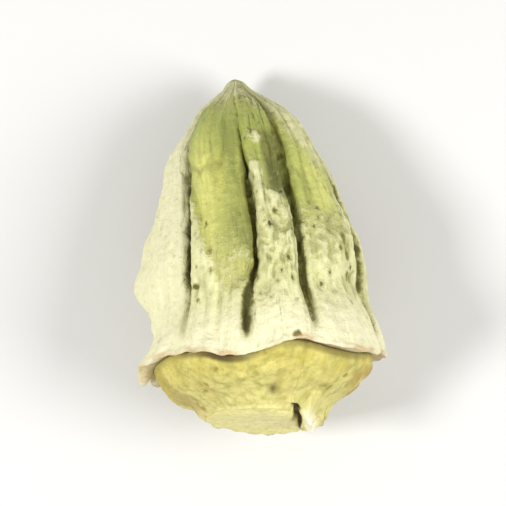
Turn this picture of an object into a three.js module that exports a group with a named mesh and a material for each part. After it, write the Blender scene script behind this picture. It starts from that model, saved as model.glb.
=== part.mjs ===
// A dried okra pod lying on its side: one ribbed pod with a flared lip at its base,
// and the yellow cap with the trimmed stalk that grew behind the lip.
// Millimetres, +Z up. The pod's axis runs along Y, with the tip at +Y.

import * as THREE from 'three';

// ---- driving dimensions (mm, degrees) ----
const BODY_LENGTH = 22.2;
const RIB_DEPTH = 1.15;
const CREASE_START = 1.0;
const CREASE_FULL = 5.2;
const LIP_SCALLOP = 0.55;
const LIP_REACH = 4.2;
const SEAT_W = 0.35;
const SEAT_R = 7.9;
const LIP_EDGE = 0.16;
const CAP_GAP = 0.32;
const CAP_DEPTH = 4.45;
const CAP_FLUTE = 0.16;
const CUT_SLANT = 0.11;
const CAP_SHIFT = -0.3;
const BEND = 1.9;
const BEND_SIDE = -0.5;
const PITCH_DEG = 8.7;
const AXIS_HEIGHT = 8.885;
const CENTRE_X = 0.355;
const CENTRE_Y = -8.265;

// ---- resolution ----
const COLUMNS_PER_RIB = 12;
const BODY_ROWS = 38;
const CAP_ROWS = 13;

// Crest radius of the pod against the distance from its lip.
const BODY_PROFILE = [
  [0.0, 9.25], [0.7, 9.1], [1.5, 8.82], [2.3, 8.48], [3.2, 8.16], [4.4, 7.98],
  [5.9, 8.03], [7.5, 7.98], [9.0, 7.72], [10.8, 7.2], [12.7, 6.7], [14.7, 6.2],
  [16.4, 5.55], [17.5, 4.98], [18.4, 4.36], [19.4, 3.36], [20.3, 2.2], [21.2, 1.15],
  [21.85, 0.5], [22.2, 0.0],
];

// The hidden seat under the lip and the lip's thin edge: radius, distance from the lip's plane.
const UNDERSIDE = [
  [0, 0.35], [2.7, 0.35], [5.4, 0.35], [7.9, 0.35], [8.35, 0.3], [8.8, 0.12], [9.15, 0.0],
];

// Radius of the cap against the distance behind the lip.
const CAP_PROFILE = [
  [0.0, 8.05], [0.7, 7.8], [1.6, 7.1], [2.4, 6.1], [3.0, 5.15], [3.7, 4.5], [4.45, 4.1],
];

// The grooves between the ribs, by their angle from straight up towards +X:
// angle at mid-length, change towards the tip, change towards the lip, share of the full depth.
const GROOVES = [
  [-98, 6, 0, 1],
  [-38.5, -16, -4, 1],
  [1, -3, -6, 1],
  [24.5, 5, 1, 1],
  [70, 2, 3, 0.5],
  [130, 2, -2, 1],
  [180, 0, 0, 1],
  [225, -3, 2, 1],
];

// The ribs that follow each groove: height, extra flare of the lip.
const RIBS = [
  [0.05, 0.5],
  [0.1, 0.05],
  [0.05, -0.05],
  [0.0, 0.0],
  [0.0, -0.4],
  [0.0, 0.38],
  [0.0, 0.3],
  [0.0, 0.2],
];

// The wave of the lip's edge: angle, shift towards the tip.
const LIP_WAVE = [
  [-98, -0.25], [-72, -0.1], [-48, 0.15], [-32, -0.1], [-18, -0.85], [-6, -0.8],
  [10, -0.2], [24, -0.2], [38, -0.7], [56, -0.9], [77, -0.5], [104, -0.1],
  [130, 0.2], [155, -0.1], [180, 0.15], [203, -0.1], [225, 0.2], [244, -0.35], [262, -0.25],
];

// Local swellings and hollows: angle, distance from the lip, height, half-widths.
const SWELLINGS = [
  [-90, 8.4, 0.55, 26, 2.8],
  [-90, 6.0, 0.95, 24, 1.5],
  [156, 6.5, -0.38, 26, 3.4],
  [204, 6.5, -0.38, 26, 3.4],
  [60, 4.3, -0.2, 30, 1.3],
  [84, 15.6, -0.35, 40, 2.6],
  [-80, 18.0, -0.55, 30, 1.5],
];

// Extra fullness of the cap: angle, distance behind the lip, height, half-widths.
const CAP_SWELLINGS = [
  [-92, 3.2, 0.85, 48, 1.5],
  [85, 3.3, -0.2, 40, 1.2],
];

const RADIANS = Math.PI / 180;

function smooth(from, to, value) {
  const t = Math.min(1, Math.max(0, (value - from) / (to - from)));
  return t * t * (3 - 2 * t);
}

// A smooth curve through the rows of a table.
function along(table, value) {
  const last = table.length - 1;
  let i = 0;
  while (i < last - 1 && value > table[i + 1][0]) i += 1;
  const slope = (k) => {
    const a = table[Math.max(0, k - 1)];
    const b = table[Math.min(last, k + 1)];
    return (b[1] - a[1]) / (b[0] - a[0]);
  };
  const [x0, y0] = table[i];
  const [x1, y1] = table[i + 1];
  const h = x1 - x0;
  const t = Math.min(1, Math.max(0, (value - x0) / h));
  const t2 = t * t;
  const t3 = t2 * t;
  const start = (2 * t3 - 3 * t2 + 1) * y0 + (t3 - 2 * t2 + t) * h * slope(i);
  return start + (3 * t2 - 2 * t3) * y1 + (t3 - t2) * h * slope(i + 1);
}

// Angle of a groove at a distance from the lip.
function grooveAngle(index, w) {
  const turn = Math.floor(index / 8);
  const [angle, tipChange, lipChange] = GROOVES[index - turn * 8];
  const tip = smooth(8, 19, w);
  const lip = 1 - smooth(0, 9, w);
  return angle + tipChange * tip + lipChange * lip + 360 * turn;
}

// Where a column of the lathe lies: its rib, the place across the rib from -1 to 1, its angle.
function place(turnShare, w) {
  const spot = turnShare * 8;
  const rib = Math.min(7, Math.floor(spot + 1e-6));
  const u = Math.sin((2 * (spot - rib) - 1) * Math.PI / 2);
  const left = grooveAngle(rib, w);
  const right = grooveAngle(rib + 1, w);
  return { rib, u, angle: (left + right) / 2 + u * (right - left) / 2 };
}

// A value of the rib table, blended across the grooves.
function ribValue(rib, u, column) {
  const here = RIBS[rib][column];
  const next = RIBS[(rib + (u > 0 ? 1 : 7)) % 8][column];
  return here + (next - here) * 0.5 * Math.abs(u) ** 3;
}

// How far the lip is drawn back from its mean plane, towards the tip.
function lipShift(angle) {
  const first = LIP_WAVE[0][0];
  return along(LIP_WAVE, first + ((((angle - first) % 360) + 360) % 360));
}

// Height that the rows of a table of swellings add at a place.
function swelling(table, w, angle) {
  let sum = 0;
  for (const [where, at, height, across, length] of table) {
    let turn = (angle - where) % 360;
    if (turn > 180) turn -= 360;
    if (turn < -180) turn += 360;
    sum += height * Math.exp(-((turn / across) ** 2) - ((w - at) / length) ** 2);
  }
  return sum;
}

// Radius of the pod's skin.
function skin(w, rib, u, angle) {
  const crest = along(BODY_PROFILE, w);
  const full = crest / 8.1;
  const grooveShare = GROOVES[(rib + (u > 0 ? 1 : 0)) % 8][3];
  const band = (0.35 * u * u + 0.65 * Math.abs(u) ** 7) * grooveShare;
  const crease = RIB_DEPTH * smooth(CREASE_START, CREASE_FULL, w) * Math.min(1, full ** 0.8);
  const corner = (Math.sqrt(u * u + 0.04) - 0.2) ** 1.2;
  let radius = crest - crease * band - LIP_SCALLOP * corner * (1 - smooth(0, LIP_REACH, w));
  radius += ribValue(rib, u, 0) * smooth(0, 1, full);
  radius += ribValue(rib, u, 1) * (1 - smooth(0, 2.4, w)) * (1 - u * u);
  radius += swelling(SWELLINGS, w, angle);
  return radius * (crest > 0 ? 1 : 0);
}

// Sets a point of the pod into the frame of the part and rests it on the ground.
function rest(x, w, up) {
  const bent = (Math.max(0, w) / BODY_LENGTH) ** 2;
  const height = up - BEND * bent;
  const side = x + BEND_SIDE * bent;
  const pitch = PITCH_DEG * RADIANS;
  const y = w * Math.cos(pitch) + height * Math.sin(pitch) + CENTRE_Y;
  const z = height * Math.cos(pitch) - w * Math.sin(pitch) + AXIS_HEIGHT;
  return [side + CENTRE_X, y, Math.max(0, z)];
}

// Revolves a profile of [radius, w] and moves every point by the given shape.
function turned(profile, shape) {
  const points = profile.map(([r, w]) => new THREE.Vector2(r, w));
  const columns = 8 * COLUMNS_PER_RIB;
  const geometry = new THREE.LatheGeometry(points, columns);
  const position = geometry.attributes.position;
  for (let i = 0; i < position.count; i += 1) {
    const column = Math.floor(i / points.length) % columns;
    const [r, w] = profile[i % points.length];
    const [x, out, up] = shape(r, w, column / columns, i % points.length);
    position.setXYZ(i, ...rest(x, out, up));
  }
  geometry.computeVertexNormals();
  return geometry;
}

// ---- the pod ----
const bodyProfile = [...UNDERSIDE];
for (let i = 0; i <= BODY_ROWS; i += 1) {
  const t = i / BODY_ROWS;
  const w = BODY_LENGTH * (t - 0.035 * Math.sin(2 * Math.PI * t));
  bodyProfile.push([i === BODY_ROWS ? 0 : 1, w + LIP_EDGE * (1 - t)]);
}

function bodyPoint(r, w, share, row) {
  const { rib, u, angle } = place(share, w);
  let radius = skin(w, rib, u, angle);
  let lifted = 1 - smooth(0, LIP_REACH, w);
  if (row < UNDERSIDE.length) {
    const flare = skin(0, rib, u, angle) / 9.3 - 1;
    radius = r * (1 + flare * (r / 9.3) ** 3);
    lifted = smooth(3, SEAT_R, r);
  }
  if (r === 0) radius = 0;
  const out = w + lipShift(angle) * lifted;
  return [radius * Math.sin(angle * RADIANS), out, radius * Math.cos(angle * RADIANS)];
}

// ---- the cap and its trimmed stalk ----
const top = SEAT_W - CAP_GAP;
const capProfile = [];
for (const r of [0, 1.4, 2.8]) capProfile.push([r, -CAP_DEPTH]);
for (let i = 0; i <= CAP_ROWS; i += 1) {
  const t = i / CAP_ROWS;
  const depth = CAP_DEPTH * (1 - t);
  capProfile.push([along(CAP_PROFILE, depth), top * t - depth]);
}
for (const r of [5.4, 2.7, 0]) capProfile.push([r, top]);

function capPoint(r, w, share) {
  const { rib, u, angle } = place(share, 0);
  const depth = Math.max(0, -w);
  const t = depth / CAP_DEPTH;
  const side = smooth(4, 7.5, r);
  const flute = CAP_FLUTE * Math.sin(Math.PI * Math.min(1, t * 1.15)) * u * u;
  const scallop = 0.5 * LIP_SCALLOP * u * u * (1 - smooth(0, 0.5, t)) * side;
  const full = swelling(CAP_SWELLINGS, depth, angle) * smooth(3.2, 4, r) * smooth(0, 1.2, depth);
  const radius = r === 0 ? 0 : r - (flute + scallop) * smooth(2.8, 4, r) + full;
  const x = radius * Math.sin(angle * RADIANS) + CAP_SHIFT;
  const slant = CUT_SLANT * x * smooth(0.2, 1, t);
  const out = w + lipShift(angle) * side * (1 - smooth(0, 0.7, t)) - slant;
  return [x, out, radius * Math.cos(angle * RADIANS)];
}

const part = new THREE.Group();

const podBody = new THREE.Mesh(
  turned(bodyProfile, bodyPoint),
  new THREE.MeshStandardMaterial({ color: 0xc9c68a, roughness: 0.8, metalness: 0 }),
);
podBody.name = 'pod_body';
part.add(podBody);

const stalkCap = new THREE.Mesh(
  turned(capProfile, capPoint),
  new THREE.MeshStandardMaterial({ color: 0xdcd07c, roughness: 0.85, metalness: 0 }),
);
stalkCap.name = 'stalk_cap';
part.add(stalkCap);

export default part;
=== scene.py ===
# %% [markdown]
# # A dried okra pod
# An okra pod dried while young is a tapering, ribbed box that shrinks and wrinkles as it loses
# its water. The lip where the flower sat curls outwards, and the cap behind it turns corky.
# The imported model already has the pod's size, its ribs, its lip and its cap as plain solids.
# This lesson puts a finely wrinkled skin in their place, paints it and lights it.

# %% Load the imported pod
import math

import bpy
import numpy as np
from mathutils import Matrix, Vector


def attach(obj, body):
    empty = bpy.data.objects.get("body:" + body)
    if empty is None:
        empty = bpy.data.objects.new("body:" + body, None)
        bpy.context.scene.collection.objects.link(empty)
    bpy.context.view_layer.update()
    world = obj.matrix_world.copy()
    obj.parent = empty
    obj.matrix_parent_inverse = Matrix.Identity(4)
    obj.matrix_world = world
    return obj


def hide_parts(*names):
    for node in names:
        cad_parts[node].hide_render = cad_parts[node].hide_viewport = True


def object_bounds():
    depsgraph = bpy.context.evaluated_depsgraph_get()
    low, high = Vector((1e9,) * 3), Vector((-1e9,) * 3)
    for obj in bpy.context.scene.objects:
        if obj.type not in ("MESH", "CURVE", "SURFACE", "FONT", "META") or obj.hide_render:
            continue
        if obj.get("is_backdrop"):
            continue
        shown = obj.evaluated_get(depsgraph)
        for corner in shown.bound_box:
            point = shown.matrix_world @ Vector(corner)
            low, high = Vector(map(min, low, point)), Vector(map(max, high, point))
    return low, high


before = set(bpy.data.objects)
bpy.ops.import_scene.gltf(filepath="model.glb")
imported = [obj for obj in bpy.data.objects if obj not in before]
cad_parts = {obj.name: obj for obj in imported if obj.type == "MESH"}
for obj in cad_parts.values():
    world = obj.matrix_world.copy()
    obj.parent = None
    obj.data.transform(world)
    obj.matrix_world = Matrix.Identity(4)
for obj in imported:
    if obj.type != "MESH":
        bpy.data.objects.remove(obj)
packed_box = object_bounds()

print("packed nodes:", sorted(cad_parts))

# %% [markdown]
# ## The sizes that drive the shape
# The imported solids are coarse, so the skin isn't read from them. It is drawn again from the same
# named sizes, in millimetres, on a much finer net. That keeps both surfaces within a hair of
# each other, and it leaves room for wrinkles that a coarse net can't hold.

# %% Sizes in millimetres and degrees
body_length = 22.2
belly_radius = 8.1
rib_depth = 1.15
crease_start = 1.0
crease_full = 5.2
lip_scallop = 0.55
lip_reach = 4.2
lip_radius = 9.3
lip_edge = 0.16
flare_reach = 2.4
seat_radius = 7.9
cap_depth = 4.45
cap_flute = 0.16
cut_slant = 0.11
cap_shift = -0.3
bend = 1.9
bend_side = -0.5
pitch = math.radians(8.7)
axis_height = 8.885
centre_x = 0.355
centre_y = -8.265
ribs = 8

# Crest radius against the distance from the lip.
body_profile = np.array([
    (0.0, 9.25), (0.7, 9.1), (1.5, 8.82), (2.3, 8.48), (3.2, 8.16), (4.4, 7.98),
    (5.9, 8.03), (7.5, 7.98), (9.0, 7.72), (10.8, 7.2), (12.7, 6.7), (14.7, 6.2),
    (16.4, 5.55), (17.5, 4.98), (18.4, 4.36), (19.4, 3.36), (20.3, 2.2), (21.2, 1.15),
    (21.85, 0.5), (22.2, 0.0),
])
# How far the underside of the lip reaches up the pod, against the radius.
underside = np.array([
    (0, 0.35), (2.7, 0.35), (5.4, 0.35), (7.9, 0.35), (8.35, 0.3), (8.8, 0.12), (9.15, 0.0),
])
# Radius of the cap against the distance behind the lip.
cap_profile = np.array([
    (0.0, 8.05), (0.7, 7.8), (1.6, 7.1), (2.4, 6.1), (3.0, 5.15), (3.7, 4.5), (4.45, 4.1),
])
# Grooves: angle from straight up towards +X, change towards the tip, change towards the lip,
# share of the full depth.
grooves = np.array([
    (-98, 6, 0, 1), (-38.5, -16, -4, 1), (1, -3, -6, 1), (24.5, 5, 1, 1),
    (70, 2, 3, 0.5), (130, 2, -2, 1), (180, 0, 0, 1), (225, -3, 2, 1),
], float)
# Ribs after each groove: height, extra flare of the lip.
rib_forms = np.array([
    (0.05, 0.5), (0.1, 0.05), (0.05, -0.05), (0, 0), (0, -0.4), (0, 0.38), (0, 0.3), (0, 0.2),
])
# The wave of the lip: angle, shift towards the tip.
lip_wave = np.array([
    (-98, -0.25), (-72, -0.1), (-48, 0.15), (-32, -0.1), (-18, -0.85), (-6, -0.8),
    (10, -0.2), (24, -0.2), (38, -0.7), (56, -0.9), (77, -0.5), (104, -0.1), (130, 0.2),
    (155, -0.1), (180, 0.15), (203, -0.1), (225, 0.2), (244, -0.35), (262, -0.25),
])
# Swellings: angle, distance from the lip, height, half-widths.
swellings = [
    (-90, 8.4, 0.55, 26, 2.8), (-90, 6.0, 0.95, 24, 1.5), (156, 6.5, -0.38, 26, 3.4),
    (204, 6.5, -0.38, 26, 3.4), (60, 4.3, -0.2, 30, 1.3), (84, 15.6, -0.35, 40, 2.6),
    (-80, 18.0, -0.55, 30, 1.5),
]
cap_swellings = [(-92, 3.2, 0.85, 48, 1.5), (85, 3.3, -0.2, 40, 1.2)]
print("pod", body_length, "mm long with", ribs, "ribs")

# %% [markdown]
# ## Curves through a few numbers
# Four small tools do most of the shaping. One eases from nought to one between two places, and
# one does so at both ends of a band. A bell rises to one at its middle and dies away on both
# sides. The last draws a smooth curve through the rows of a table, so that a handful of radii
# gives a whole outline. numpy lets each work on every point of the net in one go.

# %% Easing, bands, bells and smooth curves
def ease(start, stop, value):
    t = np.clip((value - start) / (stop - start), 0, 1)
    return t * t * (3 - 2 * t)


def band_between(value, low, high, soft):
    return ease(low - soft, low + soft, value) * (1 - ease(high - soft, high + soft, value))


def bell(offset, half_width):
    return np.exp(-(offset / half_width) ** 2)


def curve(table, value):
    x, y = table[:, 0], table[:, 1]
    count = len(x)
    before = np.maximum(np.arange(count) - 1, 0)
    after = np.minimum(np.arange(count) + 1, count - 1)
    slope = (y[after] - y[before]) / (x[after] - x[before])
    i = np.clip(np.searchsorted(x, value, side="left") - 1, 0, count - 2)
    span = x[i + 1] - x[i]
    t = np.clip((value - x[i]) / span, 0, 1)
    near = (2 * t**3 - 3 * t**2 + 1) * y[i] + (t**3 - 2 * t**2 + t) * span * slope[i]
    return near + (3 * t**2 - 2 * t**3) * y[i + 1] + (t**3 - t**2) * span * slope[i + 1]


print("crest radius at mid-length:", round(float(curve(body_profile, body_length / 2)), 2), "mm")

# %% [markdown]
# ## Ribs and grooves
# A rib is the wall of one seed chamber, and a groove is the seam between two. They wander a
# little on their way from lip to tip. Each point is therefore placed by its rib and by its share
# of the way across it, from -1 at one groove to 1 at the next. The angle comes after that, so
# every line of the net runs along a rib and the seams stay sharp.

# %% Where a point across a rib lies
# Where a groove begins and ends its bend towards the tip, and its bend by the lip (mm from the lip).
tipward_bend = (8, 19)
lipward_bend = (0, 9)


def groove_angle(index, w):
    turn = index // ribs
    row = grooves[index - turn * ribs]
    tipward = ease(*tipward_bend, w)
    lipward = 1 - ease(*lipward_bend, w)
    return row[..., 0] + row[..., 1] * tipward + row[..., 2] * lipward + 360 * turn


def angle_across(rib, u, w):
    left = groove_angle(rib, w)
    right = groove_angle(rib + 1, w)
    return (left + right) / 2 + u * (right - left) / 2


def rib_value(rib, u, column):
    here = rib_forms[rib, column]
    following = rib_forms[(rib + np.where(u > 0, 1, ribs - 1)) % ribs, column]
    return here + (following - here) * 0.5 * np.abs(u) ** 3


def lip_shift(angle):
    first = lip_wave[0, 0]
    return curve(lip_wave, first + (angle - first) % 360)


def swelling(table, w, angle):
    total = np.zeros_like(w)
    for where, at, height, across, length in table:
        turn = (angle - where + 180) % 360 - 180
        total = total + height * bell(turn, across) * bell(w - at, length)
    return total


# %% Radius of the skin
def skin_radius(w, rib, u, angle):
    crest = curve(body_profile, w)
    full = crest / belly_radius
    # A third of a groove's depth is a wide dip, and the rest is a sharp fold at its bottom.
    groove_share = (0.35 * u**2 + 0.65 * np.abs(u) ** 7) * grooves[(rib + (u > 0)) % ribs, 3]
    depth = rib_depth * ease(crease_start, crease_full, w) * np.minimum(1, np.maximum(full, 0) ** 0.8)
    # The lip draws in at each groove, in a shallow scallop. The root rounds its middle.
    scallop_share = (np.sqrt(u**2 + 0.04) - 0.2) ** 1.2
    radius = crest - depth * groove_share - lip_scallop * scallop_share * (1 - ease(0, lip_reach, w))
    radius = radius + rib_value(rib, u, 0) * ease(0, 1, full)
    radius = radius + rib_value(rib, u, 1) * (1 - ease(0, flare_reach, w)) * (1 - u**2)
    radius = radius + swelling(swellings, w, angle)
    return radius * (crest > 1e-6)


print("grooves are up to", rib_depth, "mm deep")

# %% [markdown]
# ## How the pod lies
# The pod was shaped round a straight axis. This step bows the axis slightly and tips it until
# two corners of the lip and the belly of two ribs touch the ground.

# %% Lay the pod down
def lay_down(x, w, up):
    bow = (np.maximum(0, w) / body_length) ** 2
    up = up - bend * bow
    x = x + bend_side * bow
    y = w * math.cos(pitch) + up * math.sin(pitch) + centre_y
    z = up * math.cos(pitch) - w * math.sin(pitch) + axis_height
    return np.stack([x + centre_x, y, z], -1)


print("axis tipped by", round(math.degrees(pitch), 1), "degrees")

# %% [markdown]
# ## A field of soft random bumps
# Dry skin is never even. A random field gives every point of space a value between -1 and 1
# that changes smoothly over a chosen size in millimetres. It is made from a fixed formula and
# not from a random generator, so the pod comes out the same every time. Each use says the size
# of its bumps, one for all directions or one for each, and then its seed. The seed is a number
# of its own, which makes its bumps unlike all others.

# %% Random field
# Uneven numbers that mix a place with the seed, until neighbours have nothing in common.
place_mix = np.array([127.1, 311.7, 74.7])
seed_step = 17.13
seed_mix = 9.7
scatter = 43758.5453


def field(points, size, seed):
    cell = points / np.asarray(size, float) + seed * seed_step
    low = np.floor(cell)
    t = cell - low
    t = t * t * (3 - 2 * t)
    total = np.zeros(points.shape[:-1])
    for corner in range(8):
        step = np.array([corner & 1, corner >> 1 & 1, corner >> 2 & 1])
        mixed = (low + step) @ place_mix + seed * seed_mix
        value = np.modf(np.abs(np.sin(mixed) * scatter))[0] * 2 - 1
        total += value * np.prod(np.where(step == 1, t, 1 - t), -1)
    return total


print("field at the origin:", round(float(field(np.zeros((1, 3)), 1.0, 1)[0]), 3))

# %% [markdown]
# ## The net of the skin
# The net has one column for each step across a rib and one row for each step along the pod. The
# columns crowd towards the grooves, where the skin folds tightest. The rows begin in the hidden
# seat behind the lip, come out over the thin edge of the lip and end at the tip.

# %% Columns and rows of the pod's net
columns_per_rib = 42
column_crowding = 0.45
outer_row_count = 252
row_crowding = 0.035

step = np.arange(columns_per_rib) / columns_per_rib * 2 - 1
across_one = step + column_crowding * np.sin(math.pi * step) / math.pi
u_column = np.tile(across_one, ribs)[None, :]
rib_column = np.repeat(np.arange(ribs), columns_per_rib)[None, :]
seat_rows = np.array([0, 3.0, 6.0, 7.4, 7.9, 8.15, 8.35, 8.5, 8.65, 8.8, 8.9, 9.0, 9.08, 9.15])
share = np.linspace(0, 1, outer_row_count)
outer_rows = body_length * (share - row_crowding * np.sin(2 * math.pi * share)) + lip_edge * (1 - share)
print("net of the pod:", rib_column.size, "x", len(seat_rows) + len(outer_rows))

# %% Points of the smooth pod
# The very tip is worn blunt: height, distance from the end and half-width of its bulge.
blunt_height = 0.17
blunt_place = 0.30
blunt_width = 0.34
# One rib at the side has shrunk, as a swelling below nought.
shrunk_rib = [(102, 11.5, -0.5, 20, 5.5)]

rib_net = rib_column + np.zeros((len(outer_rows), 1), int)
u_net = u_column + np.zeros((len(outer_rows), 1))
w_net = outer_rows[:, None] + np.zeros(u_net.shape)
from_tip = body_length - w_net
angle_net = angle_across(rib_net, u_net, w_net)
radius_net = skin_radius(w_net, rib_net, u_net, angle_net) + swelling(shrunk_rib, w_net, angle_net)
blunt = bell(from_tip - blunt_place, blunt_width) * np.sqrt(np.minimum(1, from_tip / blunt_place))
radius_net = radius_net + blunt_height * blunt
print("smooth pod up to", round(float(radius_net.max()), 2), "mm from its axis")

# %% Flat maps of the skin
# Each groove's distance in millimetres, measured along the skin.
width_net = np.radians(groove_angle(rib_net + 1, w_net) - groove_angle(rib_net, w_net)) * radius_net
seam_distance = (1 - np.abs(u_net)) * width_net / 2
# A map that follows the ribs: two coordinates round the pod and one along it.
map_radius = 7
turn_net = 2 * math.pi * (rib_net + (u_net + 1) / 2) / ribs
rind_net = np.stack([map_radius * np.cos(turn_net), map_radius * np.sin(turn_net), w_net], -1)


def across_rib(place):
    return (u_net - place) * width_net / 2


def from_side(side):
    return (1 - side * u_net) * width_net / 2


def spot_on(rib, across, at, half_width, half_length):
    return bell(across_rib(across), half_width) * bell(w_net - at, half_length) * (rib_net == rib)


print("widest rib:", round(float(width_net.max()), 1), "mm")

# %% [markdown]
# ## What grows where
# The colour of each rib changes from lip to tip. Fresh green is left near the tip and in the
# hollows, where the sun and rubbing reached least. Towards the lip the skin turns straw, and a
# pale bloom of dead hairs and dried juice covers it. These tables say how much of each there
# is at seven stops along every rib, and how dark each seam is. A curve joins the stops.

# %% Bloom, green and freckles along each rib, from lip to tip
stops = np.array([2.5, 5.5, 8.5, 11.5, 14.5, 17.5, 20.5])
bloom_of_rib = np.array([
    (1.00, 1.00, 1.00, 1.00, 1.00, 1.00, 1.00),
    (0.86, 0.50, 0.20, 0.00, 0.00, 0.00, 0.60),
    (0.97, 0.80, 0.72, 0.40, -0.10, 0.02, 0.60),
    (0.97, 0.80, 0.62, 0.05, 0.10, 0.52, 0.90),
    (0.95, 0.85, 0.80, 0.80, 0.85, 0.90, 0.95),
    (0.90, 0.45, 0.20, 0.12, 0.10, 0.10, 0.20),
    (0.95, 0.80, 0.55, 0.30, 0.15, 0.10, 0.20),
    (0.95, 0.90, 0.70, 0.55, 0.45, 0.40, 0.35),
])
green_of_rib = np.array([
    (0.05, 0.08, 0.10, 0.12, 0.15, 0.20, 0.30),
    (0.15, 0.45, 0.62, 0.62, 0.75, 0.90, 0.95),
    (0.20, 0.45, 0.60, 0.80, 0.95, 1.00, 0.95),
    (0.20, 0.40, 0.60, 0.85, 0.95, 0.80, 0.60),
    (0.20, 0.40, 0.50, 0.60, 0.60, 0.60, 0.60),
    (0.10, 0.35, 0.50, 0.62, 0.75, 0.80, 0.80),
    (0.10, 0.25, 0.35, 0.50, 0.60, 0.70, 0.80),
    (0.10, 0.30, 0.40, 0.50, 0.60, 0.70, 0.80),
])
freckle_of_rib = np.array([
    (0.15, 0.20, 0.25, 0.20, 0.15, 0.10, 0.10),
    (0.05, 0.30, 0.25, 0.15, 0.10, 0.05, 0.10),
    (0.60, 0.90, 1.00, 0.95, 0.60, 0.40, 0.30),
    (0.70, 0.95, 0.80, 0.35, 0.10, 0.10, 0.10),
    (0.10, 0.40, 0.50, 0.50, 0.40, 0.30, 0.30),
    (0.15, 0.70, 0.95, 0.85, 0.60, 0.30, 0.20),
    (0.20, 0.80, 1.05, 1.10, 0.90, 0.50, 0.30),
    (0.15, 0.60, 0.90, 1.00, 0.80, 0.40, 0.30),
])
dark_of_seam = np.array([
    (0.25, 0.45, 0.60, 0.60, 0.50, 0.40, 0.20),
    (0.45, 0.80, 1.15, 0.90, 0.50, 0.30, 0.15),
    (1.35, 0.95, 0.95, 0.80, 0.95, 0.50, 0.00),
    (0.60, 1.00, 0.80, 0.85, 0.70, 0.30, 0.00),
    (0.60, 0.95, 1.10, 1.00, 0.60, 0.40, 0.20),
    (0.30, 0.70, 0.85, 0.80, 0.60, 0.40, 0.20),
    (0.30, 0.80, 0.95, 0.90, 0.80, 0.50, 0.20),
    (0.30, 0.60, 0.85, 0.75, 0.60, 0.40, 0.20),
])


def along_ribs(table, index):
    total = np.zeros_like(w_net)
    for row in range(ribs):
        values = curve(np.stack([stops, table[row]], 1), w_net)
        total = np.where(index == row, values, total)
    return total


bloom_net = along_ribs(bloom_of_rib, rib_net)
green_net = along_ribs(green_of_rib, rib_net)
freckle_net = along_ribs(freckle_of_rib, rib_net)
print("bloom on average:", round(float(bloom_net.mean()), 2))

# %% [markdown]
# ## Seams and creases
# A seam doesn't keep exactly to its groove. It wanders, and the one on top bends to the left
# above the collar. A crease is a shallow fold of a rib. The deepest one crosses its rib, and
# beside it the skin has puckered into a narrow, pale ridge. All of them are worked out as
# distances in millimetres first, because both the relief and the colours need them.

# %% Paths of the seams
# Bends: seam, shift to the right, from, to and softness of its ends (mm from the lip). The last
# one brings out the scabs of a seam that a rib overhangs.
seam_bends = [(2, -0.50, -9.0, 4.6, 1.0), (2, -0.30, 14.2, 17.0, 0.8), (4, 0.45, 3.0, 13.0, 1.0)]

# Below nought is the left side of the nearest seam, above nought its right side.
beside = np.where(u_net > 0, -seam_distance, seam_distance)
seam_index = (rib_net + (u_net > 0)) % ribs
seam_place = np.stack([seam_index * 5.0, 0 * w_net, w_net], -1)
seam_path = 0.16 * field(seam_place, 1.7, 12) + 0.07 * field(seam_place, 0.6, 15)
for seam, shift, start, stop, soft in seam_bends:
    seam_path += shift * band_between(w_net, start, stop, soft) * (seam_index == seam)
from_seam = beside - seam_path
# Seams are slimmer where the pod is, and they fade out at the lip and at the tip.
slimmer = 0.4 + 0.6 * radius_net / 8
seam_reach = ease(0.7, 1.9, w_net) * ease(0.3, 4.0, from_tip)
seam_dark = along_ribs(dark_of_seam, seam_index) * seam_reach
print("seams wander by up to", round(float(np.abs(seam_path).max()), 2), "mm")

# %% Creases and the ridge
# Creases: rib, place across it at the lip end and at the tip end, from, to (mm), depth (mm).
creases = [
    (1, 0.15, -0.66, 2.8, 12.2, 0.20), (3, 0.34, 0.26, 4.0, 9.0, 0.10), (2, 0.35, 0.25, 12.5, 17.5, 0.10),
    (4, -0.10, 0.10, 5.0, 13.0, 0.18), (5, 0.30, 0.10, 6.0, 14.0, 0.16),
    (6, -0.40, -0.20, 4.0, 11.0, 0.16), (7, 0.10, 0.10, 5.0, 12.5, 0.20),
]
crease_width = 0.19
ridged_rib = 1

crease_net = np.zeros_like(w_net)
crease_relief = np.zeros_like(w_net)
for rib, lip_end, tip_end, start, stop, depth in creases:
    share = np.clip((w_net - start) / (stop - start), 0, 1)
    sway = 0.07 * field(rind_net, (9, 9, 2.5), 20 + rib)
    offset = across_rib(lip_end + (tip_end - lip_end) * share + sway)
    line = bell(offset, crease_width) * band_between(w_net, start, stop, 0.9) * (rib_net == rib)
    crease_net = np.maximum(crease_net, line)
    crease_relief += depth * line
    if rib == ridged_rib:
        ridge_net = ease(0.10, -0.80, offset) * band_between(w_net, 3.0, 12.0, 1.0) * (rib_net == rib)
print("creases:", len(creases))

# %% [markdown]
# ## The crust of the bloom
# The bloom is a thin crust, so it stands proud of the skin and breaks up at its borders into
# crumbs and beads. Its amount comes from the tables, and a random field of crumbs decides
# where it holds. Between the crumbs the skin shows as small grey-green pits. Mesh and colour
# both read these values, so the pale parts of the finish are the raised parts of the shape.

# %% Pale borders and beads
# Borders: rib, side of it, from, to (mm from the lip), width (mm), strength.
borders = [
    (2, -1, 9.0, 14.0, 1.0, 0.6), (3, 1, 5.0, 14.0, 1.3, 1.0), (3, 1, 13.0, 22.0, 2.4, 1.0),
    (2, 1, 18.2, 23.0, 0.9, 0.8), (4, -1, 3.0, 22.0, 1.6, 1.2), (5, 1, 3.0, 15.0, 0.9, 0.8),
    (6, -1, 5.0, 17.0, 0.9, 0.9), (7, 1, 3.0, 19.0, 0.9, 0.7), (1, -1, 15.0, 22.5, 0.5, 0.9),
]
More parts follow.
